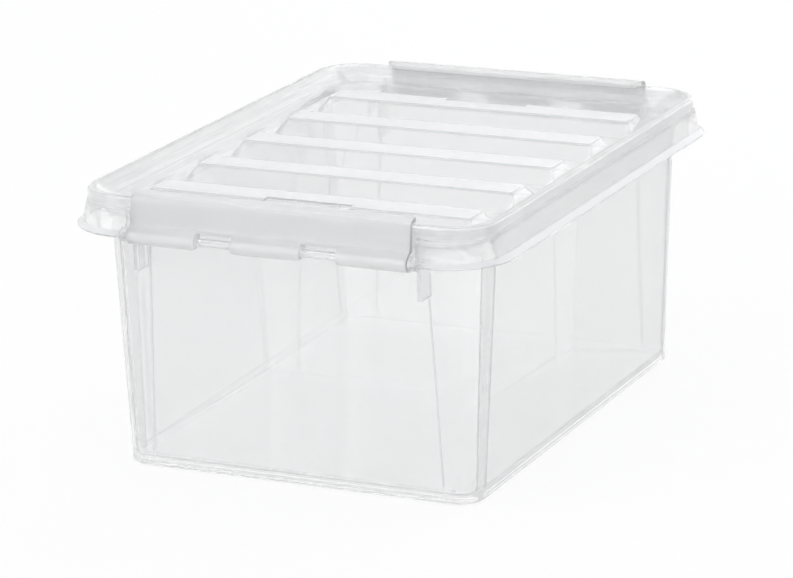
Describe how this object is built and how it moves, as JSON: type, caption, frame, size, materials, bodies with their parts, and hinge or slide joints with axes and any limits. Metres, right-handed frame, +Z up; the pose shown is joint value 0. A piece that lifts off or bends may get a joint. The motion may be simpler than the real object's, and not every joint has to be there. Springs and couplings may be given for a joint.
{
  "type": "potato storage bin",
  "caption": "Clear tapered storage box with a recessed ridged lid and hinged clips at both ends.",
  "frame": {"origin": "centre of the base, on the plane that the foot stands on", "axes": "+Z up, +Y along the length towards the rear clip, +X across the width"},
  "size_m": [0.25, 0.3386, 0.1572],
  "materials": {
    "clear_container": "clear, smooth, slightly hazy moulded plastic",
    "clear_lid": "clear, smooth, slightly hazy moulded plastic",
    "clip": "milky translucent moulded plastic with a soft sheen"
  },
  "bodies": {
    "container": {"container": "clear_container"},
    "lid": {"lid": "clear_lid"},
    "clip_front": {"clip_front": "clip"},
    "clip_rear": {"clip_rear": "clip"}
  },
  "joints": [
    {"name": "lid_lift", "type": "slide", "parent": "container", "child": "lid", "axis": [0, 0, 1], "range_m": [0, 0.0176]},
    {"name": "clip_front_hinge", "type": "hinge", "parent": "container", "child": "clip_front", "pos_m": [0, -0.1649, 0.135], "axis": [1, 0, 0], "range_deg": [0, 160]},
    {"name": "clip_rear_hinge", "type": "hinge", "parent": "container", "child": "clip_rear", "pos_m": [0, 0.1649, 0.135], "axis": [-1, 0, 0], "range_deg": [0, 160]}
  ],
  "couplings": [
    {"joint": "clip_front_hinge", "follows": "lid_lift", "rad_per_m": 158.6},
    {"joint": "clip_rear_hinge", "follows": "lid_lift", "rad_per_m": 158.6}
  ]
}
